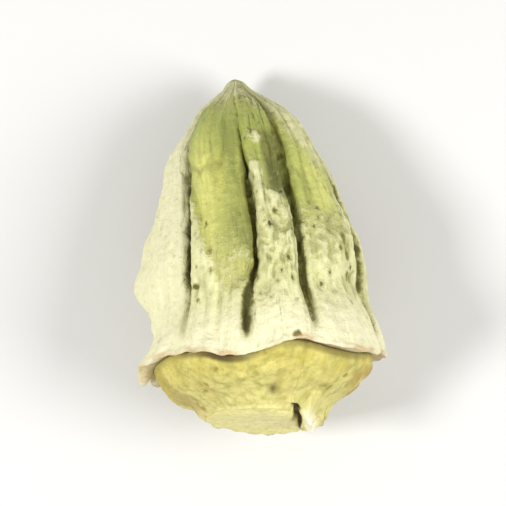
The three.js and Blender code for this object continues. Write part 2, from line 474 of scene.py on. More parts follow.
# Beads of thick bloom: rib, place across, distance from the lip, half-widths across and along.
beads = [
    (2, -0.30, 15.9, 0.41, 0.50), (2, -0.55, 12.8, 0.30, 0.80), (2, -0.05, 10.8, 0.44, 0.50),
    (2, -0.55, 11.4, 0.26, 0.50), (5, 0.30, 11.0, 0.35, 0.80),
    (6, -0.40, 14.5, 0.30, 0.60), (6, 0.10, 12.0, 0.40, 0.45), (7, -0.30, 13.5, 0.35, 0.60),
]
border_net = 1.3 * ridge_net
for rib, side, start, stop, width, strength in borders:
    # A border is strongest a little way in from its seam.
    strip = bell(from_side(side) - 0.62 * width, 0.5 * width)
    strip = strip * band_between(w_net, start, stop, 1.2) * (rib_net == rib)
    strip = strip * (0.8 + 0.6 * field(rind_net, (1.5, 1.5, 1.5), 60 + rib))
    border_net = np.maximum(border_net, strength * strip)
bead_net = np.maximum.reduce([spot_on(*bead) for bead in beads])
print("borders:", len(borders), "beads:", len(beads))

# %% Crumbs and pits
# The greenest hollow, between the beads and the next seam, darkened partly by painted shade: rib, from, to
# (mm from the lip).
hollow_rib = 2
hollow_start = 11.3
hollow_stop = 16.6
# How crumbly the bloom of each rib is. On the greenest it is a fine dust that fades evenly.
crumbliness = np.array([0.7, 0.22, 0.5, 0.35, 0.7, 0.6, 0.7, 0.7])

# The hollow leaves out the left third of its rib, spares the beads and weakens towards the tip.
hollow_net = band_between(w_net, hollow_start, hollow_stop, 0.7) * (rib_net == hollow_rib)
hollow_net *= ease(-0.35, 0.1, u_net) * (1 - 0.9 * bead_net) * (0.75 + 0.25 * ease(15.0, 13.4, w_net))
# A second field pushes the crumbs about, which hides the grid that the first is made on.
pushed = rind_net + 0.45 * np.stack([field(rind_net, 0.9, seed) for seed in (65, 66, 67)], -1)
# Crumbs of 0.8 mm and crumbs of 0.4 mm, all of them longer than they are wide.
crumbs = 0.45 * field(pushed, (0.8, 0.8, 1.4), 61) + 0.55 * field(pushed, (0.4, 0.4, 0.6), 62)
# The very tip is paler, partly pale bloom and partly painted light, since the lamps reach it less.
pale_tip_and_painted_light = ease(3.2, 1.0, from_tip)
# What adds to the crust or takes from it, and by how much.
crust_sum = bloom_net + crumbliness[rib_net] * crumbs
for amount, part in ((0.8, border_net), (2.2, bead_net), (-0.9, hollow_net), (0.75, pale_tip_and_painted_light)):
    crust_sum += amount * part
crust_net = ease(0.0, 1.0, crust_sum)
# Under the crust the skin itself fades, evenly and without crumbs.
veil_net = ease(0.0, 1.0, bloom_net + 0.15 * field(pushed, (1.1, 1.1, 2.2), 70))
# Pits form where a fine field peaks, and more of them where the rib is freckled.
pit_field = field(pushed, (0.36, 0.36, 0.6), 63) + 0.15 * field(rind_net, (1.4, 1.4, 2.5), 64)
pit_net = ease(0.35, 1.15, pit_field + 0.42 * freckle_net) * np.minimum(1, freckle_net)
print("crusted share:", round(float(crust_net.mean()), 2), "pitted share:", round(float(pit_net.mean()), 2))

# %% [markdown]
# ## Wrinkles, bumps and seams
# As the skin dries it shortens across the ribs far more than along them, so its wrinkles are
# long, thin and run towards the tip. They are drawn as narrow valleys wherever a stretched
# random field passes through nought. Small warts left by the hairs stand on the pale parts.
# Along each seam the skin is pulled in, with a slight welt on both sides.

# %% Wrinkles and bumps
# The pale collar fades out between 1.3 and 4.3 mm from the lip, along a wavy border.
collar_net = 1 - ease(1.3, 4.3, w_net + 0.5 * field(rind_net, (2.5, 2.5, 4), 30))
# The rib at the left is as pale as the collar along its inner side.
pale_side = (rib_net == 0) * ease(-1.0, -0.6, u_net) * ease(1.0, 0.88, u_net)
collar_net = np.maximum(collar_net, 0.8 * pale_side)
turn = np.radians(angle_net)
smooth_net = lay_down(radius_net * np.sin(turn), w_net, radius_net * np.cos(turn))

patchy = 0.5 + 0.5 * field(rind_net, (2.4, 2.4, 4.5), 5)
long_wrinkles = bell(field(rind_net, (0.85, 0.85, 4.5), 3), 0.15) * (0.15 + patchy)
short_wrinkles = bell(field(rind_net, (0.42, 0.42, 2.0), 4), 0.2) * (1.2 - patchy)
warts = np.maximum(0, field(smooth_net, 0.45, 8)) ** 1.5 * (1 - 0.7 * collar_net)
# Every form of the skin, and by how many millimetres it stands out or sinks in.
forms = [
    (0.13, field(rind_net, (2.6, 2.6, 4.2), 7)), (0.08, field(rind_net, (1.2, 1.2, 2.2), 6)),
    (-0.20, long_wrinkles), (-0.10, short_wrinkles), (0.07, warts), (0.04, field(smooth_net, 0.32, 9)),
    (0.10, field(rind_net, (0.55, 0.55, 4.0), 10) * collar_net),
    (0.05, field(smooth_net, 0.8, 11) * collar_net),
    (0.09, crust_net), (0.12, bead_net), (0.10, ridge_net), (-0.07, pit_net), (-0.22, hollow_net),
]
relief = sum(height * form for height, form in forms)
thin_tip = ease(0.0, 3.0, from_tip)
relief *= 0.3 + 0.7 * thin_tip
print("forms in the skin:", len(forms))

# %% Seams pulled in, and the top seam closed at both ends
top_seam = seam_index == 2
# The darker a seam is, the deeper it is pulled in. Its welts stand 0.6 mm to either side.
pulled_in = (0.10 + 0.15 * seam_dark) * bell(from_seam, 0.26 * slimmer)
welt = 0.08 * bell(np.abs(from_seam) - 0.6, 0.28)
relief += (welt - pulled_in) * seam_reach * thin_tip - crease_relief
# By the collar the seam on top has left its groove, and the groove is filled.
filled = (1 - ease(3.8, 5.4, w_net)) * ease(0.8, 1.6, w_net) * top_seam
relief += 0.30 * filled * bell(beside, 0.3)
# Towards the tip its ribs grow together, and it closes to a fine line.
closing = ease(11.5, 15.0, w_net) * ease(22.0, 19.0, w_net) * top_seam
relief += 0.50 * closing * bell(from_seam, 0.6)
print("relief from", round(float(relief.min()), 2), "to", round(float(relief.max()), 2), "mm")

# %% [markdown]
# ## The dry lip
# The lip is a sheet of papery skin about half a millimetre thick. Its edge is frayed, with
# little teeth where fibres tore. The fraying fades out both up the pod and under the lip.

# %% Frayed edge, shared by both sides of the lip
torn_corner = -84
neck_angle = -80


def fray(angle, w, r):
    # Large teeth and small ones reach up or down the pod, and the edge also waves in and out.
    ring = np.stack([9 * np.cos(np.radians(angle)), 9 * np.sin(np.radians(angle)), 0 * angle], -1)
    along_pod = 0.16 * field(ring, 1.3, 31) + 0.07 * field(ring, 0.5, 32)
    outwards = 0.10 * field(ring, 1.9, 33) - 0.10
    fade = (1 - ease(0.2, 2.2, w)) * ease(8.0, 9.1, r)
    # The left corner ends in a torn point, with a narrow neck above it.
    along_pod -= 1.0 * bell(angle - torn_corner, 6)
    neck = 0.45 * bell(angle - neck_angle, 13) * band_between(w, 0.9, 3.0, 0.6)
    return along_pod * fade, outwards * fade - neck


def raised(points, outward, height):
    rowwise = np.gradient(points, axis=0)
    columnwise = np.roll(points, -1, 1) - np.roll(points, 1, 1)
    normal = np.cross(columnwise, rowwise)
    normal /= np.maximum(np.linalg.norm(normal, axis=-1, keepdims=True), 1e-12)
    normal *= np.sign((normal * outward).sum(-1, keepdims=True) + 1e-9)
    return points + normal * height[..., None]


def pod_points(w, angle, radius, lifted):
    shift_w, shift_r = fray(angle, w, radius)
    radius = radius + shift_r
    along_axis = w + lip_shift(angle) * lifted + shift_w
    return lay_down(radius * np.sin(np.radians(angle)), along_axis, radius * np.cos(np.radians(angle)))


print("torn point at", torn_corner, "degrees")

# %% The outer skin, the hidden seat and the underside of the lip
lifted_net = 1 - ease(0, lip_reach, w_net)
relief *= ease(0.0, 0.5, w_net - lip_edge)
outward = np.stack([np.sin(turn), 0 * turn, np.cos(turn)], -1)
outer_points = raised(pod_points(w_net, angle_net, radius_net, lifted_net), outward, relief)
outer_points[-1] = outer_points[-1].mean(0)

seat_r = seat_rows[:, None] + np.zeros(u_column.shape)
seat_rib = rib_column + np.zeros(seat_r.shape, int)
seat_u = u_column + np.zeros(seat_r.shape)
seat_angle = angle_across(seat_rib, seat_u, 0 * seat_r)
# The seat spreads with the lip above it, and most of all at its edge.
flare = skin_radius(0 * seat_r, seat_rib, seat_u, seat_angle) / lip_radius - 1
flared_r = seat_r * (1 + flare * (seat_r / lip_radius) ** 3)
seat_points = pod_points(curve(underside, seat_r), seat_angle, flared_r, ease(3, seat_radius, seat_r))
pod_net = np.concatenate([seat_points, outer_points])
# Nothing goes below the ground.
pod_net[..., 2] = np.maximum(0, pod_net[..., 2])
print("pod from", pod_net.reshape(-1, 3).min(0).round(2), "to", pod_net.reshape(-1, 3).max(0).round(2))

# %% [markdown]
# ## From a net to a mesh
# The net closes on itself round the pod, and its first and last rows shrink to single points.
# Four-cornered faces fill it and a fan of triangles closes each end, so the mesh is one closed
# skin. Values worked out for every point, such as how near a seam it lies, are kept on the mesh
# as attributes. Materials can read those later by name.

# %% Make an object from a closed net
def new_object(name, data):
    made = bpy.data.objects.new(name, data)
    bpy.context.scene.collection.objects.link(made)
    return made


def flat(values):
    middle = values[1:-1].reshape(-1, *values.shape[2:])
    return np.concatenate([values[:1, 0], middle, values[-1:, 0]])


def net_object(name, net, attributes):
    rows, columns = net.shape[:2]
    corners = np.arange(1, 1 + (rows - 2) * columns).reshape(rows - 2, columns)
    following = np.roll(corners, -1, 1)
    quads = np.stack([corners[:-1], following[:-1], following[1:], corners[1:]], -1).reshape(-1, 4)
    last = (rows - 2) * columns + 1
    faces = quads.tolist()
    faces += [(0, b, a) for a, b in zip(corners[0].tolist(), following[0].tolist())]
    faces += [(last, a, b) for a, b in zip(corners[-1].tolist(), following[-1].tolist())]
    mesh = bpy.data.meshes.new(name)
    mesh.from_pydata((flat(net) / 1000).tolist(), [], faces)
    mesh.shade_smooth()
    for label, values in attributes.items():
        kind, part = ("FLOAT_VECTOR", "vector") if values.ndim == 3 else ("FLOAT", "value")
        layer = mesh.attributes.new(label, kind, "POINT")
        layer.data.foreach_set(part, flat(values).ravel())
    print(name, "has", len(mesh.vertices), "points and", len(mesh.polygons), "faces")
    return new_object(name, mesh)


# %% [markdown]
# ## Marks for the finish
# A seam has a soft olive flank of painted shade, and in its middle sits a broken row of dark
# scabs. Strips of painted shade lie beside some seams, and a few brown stains lie on the hidden
# side, where the pod touched the ground. Each mark is one number for every point of the mesh.

# %% Scabs along the seams, and loose ones
# How broken and how broad the row of scabs is on each seam.
broken = np.array([0.6, 0.95, 0.35, 0.5, 0.6, 0.6, 0.5, 0.7])[seam_index]
breadth = np.array([1.0, 3.4, 1.0, 1.1, 2.8, 1.1, 1.2, 1.1])[seam_index]
# Loose scabs: rib, place across, distance from the lip, half-widths across and along, strength.
loose_scabs = [
    (2, 0.31, 0.35, 0.44, 0.32, 1.0), (1, -0.67, 4.75, 0.26, 0.28, 1.0), (1, -0.57, 3.65, 0.24, 0.24, 0.75),
    (1, -0.62, 6.10, 0.22, 0.24, 0.65), (1, -0.34, 9.2, 0.20, 0.36, 0.8), (1, -0.26, 7.2, 0.20, 0.45, 0.55),
    (1, -0.20, 5.7, 0.24, 0.34, 0.75), (2, -0.07, 9.6, 0.28, 0.28, 0.9), (3, 0.07, 7.0, 0.24, 0.24, 0.9),
]
scab_width = 0.14 * slimmer * breadth * (1 + 0.35 * field(seam_place, 1.1, 16))
# The first seam's scabs narrow towards the tip, and those of the top seam widen by the collar.
scab_width *= 1 - 0.55 * (seam_index == 1) * ease(9.5, 11.5, w_net)
scab_width *= 1 + 1.5 * top_seam * (1 - ease(5.5, 9.0, w_net))
ragged_edge = 0.10 * field(rind_net, (0.9, 0.9, 0.5), 69)
scab_net = bell(from_seam + ragged_edge, scab_width) * seam_dark
scab_net *= 1 + broken * field(seam_place, 0.7, 17)
for *place, strength in loose_scabs:
    scab_net = np.maximum(scab_net, strength * spot_on(*place))
# Painted shade along each seam, as if shade fell into its groove.
painted_seam_shade_net = bell(from_seam, 0.5 * slimmer) * seam_dark ** 0.5
spotted = ease(-0.25, 0.35, field(rind_net, (1.2, 1.2, 0.75), 18))
crease_mark = crease_net * (0.25 + 0.75 * spotted) * (1 - 0.75 * (rib_net == ridged_rib))
print("loose scabs:", len(loose_scabs))

# %% Painted highlights, painted shade beside seams, stains and the brown edge
# Painted highlights, a clearer yellow on the side of a rib where light falls: rib, place across, half-width
# there, from, to (mm from the lip).
painted_highlight_flanks = [
    (1, -0.22, 0.45, 7.5, 16.0), (3, 0.15, 0.60, 9.5, 18.0), (5, 0.20, 0.45, 9.0, 15.0),
    (6, -0.10, 0.40, 10.0, 16.0),
]
# Strips of painted shade beside seams, on the side of a rib turned from the light: rib, side of it, from, to
# (mm from the lip), width (mm), strength.
painted_shade_strips = [
    (1, -1, 9.5, 20.5, 0.9, 0.75), (1, 1, 5.5, 17.5, 1.7, 0.75), (1, 1, 5.4, 10.8, 2.5, 0.90),
    (2, 1, 8.0, 16.5, 0.9, 0.8), (3, -1, 9.0, 16.0, 0.5, 0.35), (5, -1, 6.0, 19.0, 0.8, 0.6),
    (6, 1, 7.0, 19.0, 0.8, 0.6), (7, -1, 8.0, 18.0, 0.7, 0.5),
]
# Stains: angle, distance from the lip, strength, half-widths.
stains = [(118, 9.0, 1, 24, 4.5), (165, 4.0, 1, 16, 2.5), (236, 13.5, 1, 18, 3.5), (252, 5.0, 1, 14, 2.0)]

painted_highlight_net = np.zeros_like(w_net)
for rib, across, half_width, start, stop in painted_highlight_flanks:
    strip = bell(u_net - across, half_width) * band_between(w_net, start, stop, 2.0)
    painted_highlight_net = np.maximum(painted_highlight_net, strip * (rib_net == rib))
painted_shade_net = np.zeros_like(w_net)
for rib, side, start, stop, width, strength in painted_shade_strips:
    strip = ease(width * 1.6, 0.1, from_side(side)) * band_between(w_net, start, stop, 2.5) * (rib_net == rib)
    painted_shade_net = np.maximum(painted_shade_net, strength * strip)
stain_net = np.maximum.reduce([swelling([stain], w_net, angle_net) for stain in stains])
edge_net = (1 - ease(0.05, 0.5, w_net)) * (1 - 0.7 * bell(angle_net - torn_corner, 14))
# Painted shade in the valleys of the wrinkles fades out on the collar and at the tip.
smoother = (1 - 0.85 * collar_net) * ease(0.2, 2.4, from_tip)
painted_wrinkle_shade_net = np.minimum(1, long_wrinkles + 0.5 * short_wrinkles) * smoother
print("dusky strips:", len(painted_shade_strips), "stains:", len(stains))

# %% The pod's object, with what its material needs to know
# Each mark, and its value on the hidden seat.
skin_marks = {
    "crust": (crust_net, 0.9), "veil": (veil_net, 0.9), "green": (green_net, 0.1),
    "freckle": (freckle_net * (1 - 0.8 * bead_net), 0.1), "pit": (pit_net, 0.0),
    "hollow_green_and_shade": (hollow_net, 0.0), "painted_shade": (painted_shade_net, 0.0), "painted_highlight": (painted_highlight_net, 0.0),
    "scab": (scab_net, 0.0), "painted_seam_shade": (painted_seam_shade_net, 0.0), "crease": (crease_mark, 0.0),
    "collar": (collar_net, 1.0), "painted_wrinkle_shade": (painted_wrinkle_shade_net, 0.0), "stain": (stain_net, 0.0),
    "edge": (edge_net, 0.6),
}
skin_values = {"rind_mm": np.concatenate([np.repeat(rind_net[:1], len(seat_rows), 0), rind_net])}
for label, (values, seat_value) in skin_marks.items():
    skin_values[label] = np.concatenate([np.full(seat_r.shape, seat_value), values])
pod_skin = net_object("okra_skin", pod_net, skin_values)

# %% [markdown]
# ## The cap and the cut stalk
# The cap is the swollen end of the stalk, and the pod grew out of it. Dry, it is corky, with
# faint folds that run in to the stalk. The stalk was cut off almost square, which left a pale
# face with torn fibres, a split and a tongue beside it. The same way of drawing a net serves.

# %% Points of the cap
wall_row_count = 78
face_row_count = 30
# Rows of the hidden top: radius, and how far it reaches up into the pod.
top_rows = [(0.0, 0.42), (4.0, 0.42), (7.4, 0.42), (7.8, 0.36), (8.0, 0.24), (8.06, 0.1)]
wall_rows = [(float(curve(cap_profile, d)), -d) for d in np.linspace(0, cap_depth, wall_row_count)]
cut_radius = wall_rows[-1][0]
# The face of the cut starts just inside its rim and ends in the middle.
face_rows = [(cut_radius * s, -cap_depth) for s in np.linspace(0.985, 0, face_row_count)]
cap_rows = np.array(top_rows + wall_rows + face_rows)

cap_r = cap_rows[:, :1] + np.zeros(u_column.shape)
cap_w = cap_rows[:, 1:] + np.zeros(u_column.shape)
cap_u = u_column + np.zeros(cap_r.shape)
cap_angle = angle_across(rib_column + np.zeros(cap_r.shape, int), cap_u, 0 * cap_r)
depth_net = np.maximum(0, -cap_w)
depth_share = depth_net / cap_depth
is_face = (np.arange(len(cap_rows)) >= len(top_rows) + len(wall_rows))[:, None]
# Nought over the core of the cap, and one at its sides.
sides = ease(4, 7.5, cap_r)

# Flutes follow the pod's grooves, and the cap's top edge is scalloped like the lip.
flute = cap_flute * np.sin(math.pi * np.minimum(1, depth_share * 1.15)) * cap_u**2
scallop = 0.5 * lip_scallop * cap_u**2 * (1 - ease(0, 0.5, depth_share)) * sides
fuller = swelling(cap_swellings, depth_net, cap_angle) * ease(3.2, 4, cap_r) * ease(0, 1.2, depth_net)
cap_radius = np.where(cap_r == 0, 0, cap_r - (flute + scallop) * ease(2.8, 4, cap_r) + fuller)
print("cut face:", round(2 * cut_radius, 1), "mm across")

# %% [markdown]
# ## Torn fibres, the split and the tongue
# The knife left the rim of the stalk rough. A crooked split crosses the cut near one side, widest
# and deepest at the top, and the strip beyond it stands out as a pale tongue. The pith in the
# middle dried and sank most. A low ring runs round its core, and fine cracks cross it.

# %% Shape of the stalk's end
split_at = 2.25
tongue_at = 3.05
tongue_width = 0.6
tongue_height = 0.95

cap_turn = np.radians(cap_angle)
across_cut = cap_radius * np.sin(cap_turn)
up_cut = cap_radius * np.cos(cap_turn)
# The split leans and wanders by a fifth of a millimetre. Its half-width grows from 0.12 mm at the
# bottom to 0.32 mm at the top. The fourth power gives it steep walls and a flat bottom.
along_split = np.stack([up_cut, 0 * up_cut, 0 * up_cut], -1)
crooked = 0.13 * field(along_split, 0.7, 44) + 0.07 * field(along_split, 0.27, 45)
split_place = split_at - 0.05 * up_cut + crooked
split_half = (0.12 + 0.20 * ease(-2.6, 1.2, up_cut)) * (1 + 0.35 * field(along_split, 0.35, 46))
split = np.exp(-((across_cut - split_place) / split_half) ** 4)
split_depth = 0.25 + 0.55 * ease(-2.8, -0.2, up_cut)
tongue = np.maximum(0, 1 - np.abs(across_cut - tongue_at) / tongue_width) * ease(-2.2, 0.6, up_cut)

near_cut = ease(cap_depth - 0.9, cap_depth - 0.1, depth_net)
rim_share = np.clip(cap_r / cut_radius, 0, 1)
turn_ring = np.stack([4 * np.cos(cap_turn), 4 * np.sin(cap_turn), 0 * cap_angle], -1)
rounded_rim = (0.14 + 0.26 * np.cos(cap_turn)) * ease(0.62, 1.0, rim_share)
torn_rim = 0.07 * field(turn_ring, 0.6, 41) * ease(0.8, 1.0, rim_share)
sunk = 0.16 * (1 - ease(0.25, 0.95, rim_share)) - 0.07 * bell(rim_share - 0.3, 0.13)
pith_place = np.stack([across_cut, up_cut, 0 * up_cut], -1)
cracks = bell(field(pith_place, 0.9, 43), 0.10) * (1 - ease(0.7, 0.9, rim_share))
cap_along = cap_w + near_cut * (rounded_rim + torn_rim + split_depth * split - tongue_height * tongue)
cap_along = cap_along + is_face * (sunk + 0.03 * cracks)
print("split up to", round(float(split_depth.max()), 1), "mm deep")

# %% Corky relief of the cap
# Lumps near the lip: angle, distance from it, height, half-widths.
lumps = [(92, 0.9, 0.22, 10, 0.5), (74, 1.5, 0.16, 9, 0.5), (104, 1.9, 0.18, 11, 0.6)]
# A point well inside the cap. Whatever points away from it points outwards.
cap_middle = np.array([centre_x + cap_shift, -9.5, 9.6])

cap_x = across_cut + cap_shift
slant = cut_slant * cap_x * ease(0.2, 1, depth_share)
cap_lift = lip_shift(cap_angle) * sides * (1 - ease(0, 0.7, depth_share))
cap_smooth = lay_down(cap_x, cap_along + cap_lift - slant, up_cut)
flow_radius = np.where(is_face, cap_radius, 8.0)
cap_flow = np.stack([flow_radius * np.cos(cap_turn), flow_radius * np.sin(cap_turn), depth_net], -1)

# The furrows are faint on top of the cap and full at its sides and below.
folded = 0.3 + 0.7 * ease(0.75, -0.2, np.cos(cap_turn - 0.15))
furrow = bell(field(cap_flow, (2.2, 2.2, 9.0), 54), 0.17) * folded
furrow = furrow * band_between(depth_share, 0.16, 0.9, 0.14)
folds = bell(field(cap_flow, (0.8, 0.8, 4.0), 56), 0.2) * ease(0.3, 1.0, depth_net)
dents = np.maximum(0, field(cap_smooth, 0.7, 55) - 0.45)
cap_lumps = swelling(lumps, depth_net, cap_angle) * ~is_face
# Every form of the cork, and by how many millimetres it stands out or sinks in.
cork_forms = [
    (0.14, field(cap_smooth, 1.4, 51)), (0.09, field(cap_smooth, 0.6, 52)),
    (0.045, field(cap_smooth, 0.3, 53)), (-0.32, furrow), (-0.07, folds), (-0.10, dents),
    (1.0, cap_lumps),
]
cork_relief = sum(height * form for height, form in cork_forms)
cork_relief *= np.where(is_face, 0.35, 1) * ease(-0.1, 0.25, -cap_w)
cap_net = raised(cap_smooth, cap_smooth - cap_middle, cork_relief)
cap_net[0] = cap_net[0].mean(0)
cap_net[-1] = cap_net[-1].mean(0)
print("cap from", cap_net.reshape(-1, 3).min(0).round(2), "to", cap_net.reshape(-1, 3).max(0).round(2))

# %% The cap's object, with what its material needs to know
# A brown line under the lip on the top side, darkest in one place, and a weaker one on the right: painted
# shadow of the lip, partly a brown stain.
lip_shadow_stain_and_spot = band_between(cap_angle, -50, -4, 7) * (0.45 + 0.5 * bell(cap_angle + 22, 12))
lip_shadow_stain_and_spot = np.maximum(lip_shadow_stain_and_spot, 0.4 * band_between(cap_angle, 18, 62, 8)) * ease(0.42, 0.05, depth_net)
# One round brown spot sits in the middle of the cap.
spot = bell(cap_angle - 6, 3.4) * bell(depth_net - 2.9, 0.28)
lip_shadow_stain_and_spot = np.maximum(lip_shadow_stain_and_spot, 0.85 * spot * ~is_face)
cap_values = {
    "flow_mm": cap_flow, "depth": depth_share, "cut": is_face * 1.0 + 0 * cap_r,
    "rim": rim_share * near_cut, "split": split * near_cut, "tongue": tongue * near_cut,
    "crack": cracks * is_face, "furrow": furrow, "lip_shadow_stain_and_spot": lip_shadow_stain_and_spot, "brown": cap_lumps * 4,
}
# These rows run away from the tip, so they are turned round to make the faces look outwards.
cap_skin = net_object("cap_cork", cap_net[::-1], {label: v[::-1] for label, v in cap_values.items()})

# %% [markdown]
# ## Tools for the finishes
# A finish is a small graph of nodes that works out colour, gloss and bump for every spot of the
# surface. One helper adds a node, fills its sockets and gives back what comes out of it. Colours
# are written as on a paint card and turned to the linear values that Blender reckons with.
# Two recipes come back often. One makes an amount ragged by adding noise that swings both ways.
# The other lets an amount show only in part, by as much as the noise allows at each spot.

# %% Adding a node, and colours
def linear(card):
    parts = [int(card[i:i + 2], 16) / 255 for i in (1, 3, 5)]
    return tuple(c / 12.92 if c <= 0.04045 else ((c + 0.055) / 1.055) ** 2.4 for c in parts) + (1.0,)


def add(finish, kind, sockets=None, give=None, **settings):
    node = finish.node_tree.nodes.new("ShaderNode" + kind)
    for setting, value in settings.items():
        setattr(node, setting, value)
    usable = [socket for socket in node.inputs if socket.enabled]
    for place, value in (sockets or {}).items():
        socket = usable[place] if isinstance(place, int) else next(s for s in usable if s.name == place)
        if isinstance(value, bpy.types.NodeSocket):
            finish.node_tree.links.new(value, socket)
        else:
            socket.default_value = value
    given = [output for output in node.outputs if output.enabled and give in (None, output.name)]
    return given[0] if given else None


print("cream in linear light:", [round(c, 2) for c in linear("#f4f0cb")[:3]])

# %% Starting and closing a finish, and the two recipes
def bare_finish(name):
    finish = bpy.data.materials.new(name)
    finish.use_nodes = True
    finish.node_tree.nodes.clear()
    return finish


def coat(piece, finish, sockets):
    surface = add(finish, "BsdfPrincipled", sockets)
    add(finish, "OutputMaterial", {"Surface": surface})
    piece.data.materials.append(finish)
    print(piece.name, "wears", finish.name, "with", len(finish.node_tree.nodes), "nodes")


def ragged(finish, amount, noise, swing):
    shake = add(finish, "Math", {0: noise, 1: swing, 2: -swing / 2}, operation="MULTIPLY_ADD")
    return add(finish, "Math", {0: shake, 1: amount}, operation="ADD")


def in_part(finish, amount, noise, low, high, least=0.0, most=1.0, **settings):
    allowed = add(finish, "MapRange", {"Value": noise, "From Min": low, "From Max": high,
                                       "To Min": least, "To Max": most}, **settings)
    return add(finish, "Math", {0: amount, 1: allowed}, operation="MULTIPLY")


mm_per_metre = (1000, 1000, 1000)
soft_step = {"interpolation_type": "SMOOTHSTEP"}
print("patterns are drawn on maps with", mm_per_metre[0], "mm to a metre")

# %% [markdown]
# ## The dried okra skin
# The skin is a sun-dried plant hide. What is left of its wax gives a weak sheen where it is
# green, and the pale bloom is dry and scatters light like chalk. Leaf-like skins have an IOR near
# 1.45 and no metal. Roughness runs from 0.5 on green wax to 0.82 on bloom. The colours are laid
# one on another: straw, then green, then bloom, then marks, with painted light and shade among them.

# %% Maps of the skin: streaks, grains and patches
skin = bare_finish("dried_okra_skin")
rind = add(skin, "Attribute", attribute_name="rind_mm", give="Vector")
# What the mesh knows of each spot, read by name.
skin_at = {label: add(skin, "Attribute", attribute_name=label, give="Fac") for label in skin_marks}
# The object's own place in millimetres, and the map that follows the ribs, stretched two ways.
maps = {label: add(skin, "VectorMath", {0: place, 1: stretch}, operation="MULTIPLY")
        for label, place, stretch in (
            ("in_mm", add(skin, "TexCoord", give="Object"), mm_per_metre),
            ("fibre", rind, (2.8, 2.8, 0.4)), ("strip", rind, (0.7, 0.7, 0.16)))}
# Patterns: map, scale, detail, roughness, distortion.
skin_patterns = {
    # Fibres run lengthwise every 0.35 mm and are about seven times longer than they are apart.
    "fibres": ("fibre", 1.0, 3.0, 0.6, 0.5),
    # Broader streaks, 1.4 mm apart, show the strips of tissue beneath.
    "strips": ("strip", 1.0, 2.0, 0.5, 0.5),
    # Hairs stood about 0.45 mm apart, so the bloom that they left is grainy at that size.
    "grains": ("in_mm", 2.2, 3.0, 0.65, 0.0),
    # Patches of older and younger bloom are nearly 2 mm wide.
    "patches": ("in_mm", 0.55, 2.0, 0.5, 0.0),
    # Scabs crumble to bits of 0.3 mm, and the finest dust is about 0.15 mm.
    "bits": ("in_mm", 3.2, 3.0, 0.7, 0.0),
    "dust": ("in_mm", 7.0, 2.0, 0.5, 0.0),
}
fibres, strips, grains, patches, bits, dust = [
    add(skin, "TexNoise", {"Vector": maps[place], "Scale": scale, "Detail": detail, "Roughness": rough,
                           "Distortion": twist}, give="Fac")
    for place, scale, detail, rough, twist in skin_patterns.values()]
print("patterns:", list(skin_patterns))

# %% Straw and green
# Some marks never cover fully. This is the most that each of them does.
weak = {label: add(skin, "Math", {0: skin_at[label], 1: most}, operation="MULTIPLY")
        for label, most in (("veil", 0.8), ("hollow_green_and_shade", 0.92), ("painted_wrinkle_shade", 0.42), ("collar", 0.9))}
straw, leaf_green = [
    add(skin, "Mix", {"Factor": pattern, "A": linear(dull), "B": linear(bright)}, data_type="RGBA")
    for pattern, dull, bright in ((strips, "#bcb560", "#d6cf86"), (fibres, "#98a546", "#c4ca6f"))]
green_share = add(skin, "MapRange", {
    "Value": ragged(skin, skin_at["green"], strips, 0.9), "From Min": 0.2, "From Max": 0.9}, **soft_step)
strip_share = add(skin, "MapRange", {
    "Value": strips, "From Min": 0.5, "From Max": 0.72, "To Max": 0.6}, **soft_step)
# The skin fades under the bloom before the bloom covers it, so green turns to straw by degrees.
flesh_layers = [
    (green_share, leaf_green),
    # Painted highlight: a clearer yellow on the lit side of some ribs.
    (in_part(skin, skin_at["painted_highlight"], fibres, 0.3, 0.6, 0.35, 0.95), linear("#e2e07e")),
    (weak["veil"], linear("#d3cd84")),
    (strip_share, linear("#d3c968")),
    # The hollow's dark olive is partly the skin's deep green and partly painted shade.
    (weak["hollow_green_and_shade"], linear("#5f6230")),
    # Painted shade: darker green strips beside some seams.
    (in_part(skin, skin_at["painted_shade"], fibres, 0.25, 0.65), linear("#5d6a2c")),
]
skin_colour = straw
for layer, colour in flesh_layers:
    skin_colour = add(skin, "Mix", {"Factor": layer, "A": skin_colour, "B": colour}, data_type="RGBA")
print("layers of flesh:", len(flesh_layers))

# %% [markdown]
# ## Bloom, grain by grain
# The bloom doesn't fade out evenly. It breaks up into grains and strips, as lime does on a
# rubbed wall. A threshold does this: noise is added to the amount of bloom, and only what comes
# above a narrow step is pale. In the gaps small dark specks show, the feet of lost hairs.

# %% Pale bloom with specks
bloom_sum = ragged(skin, ragged(skin, skin_at["crust"], grains, 1.5), fibres, 0.9)
bloom_share = add(skin, "MapRange", {"Value": bloom_sum, "From Min": 0.15, "From Max": 0.85}, **soft_step)
thickness = add(skin, "MapRange", {"Value": bloom_sum, "From Min": 0.4, "From Max": 1.25})
thin_bloom = add(skin, "Mix", {
    "Factor": patches, "A": linear("#bfbf78"), "B": linear("#d3d291")}, data_type="RGBA")
bloom_colour = add(skin, "Mix", {
    "Factor": thickness, "A": thin_bloom, "B": linear("#e8e5b2")}, data_type="RGBA")
pit_share = add(skin, "MapRange", {
    "Value": ragged(skin, skin_at["pit"], grains, 0.7), "From Min": 0.1, "From Max": 1.0, "To Max": 0.7},
    **soft_step)
pit_colour = add(skin, "Mix", {
    "Factor": add(skin, "MapRange", {"Value": patches, "From Min": 0.4, "From Max": 0.6}),
    "A": linear("#8d9157"), "B": linear("#a19d60")}, data_type="RGBA")
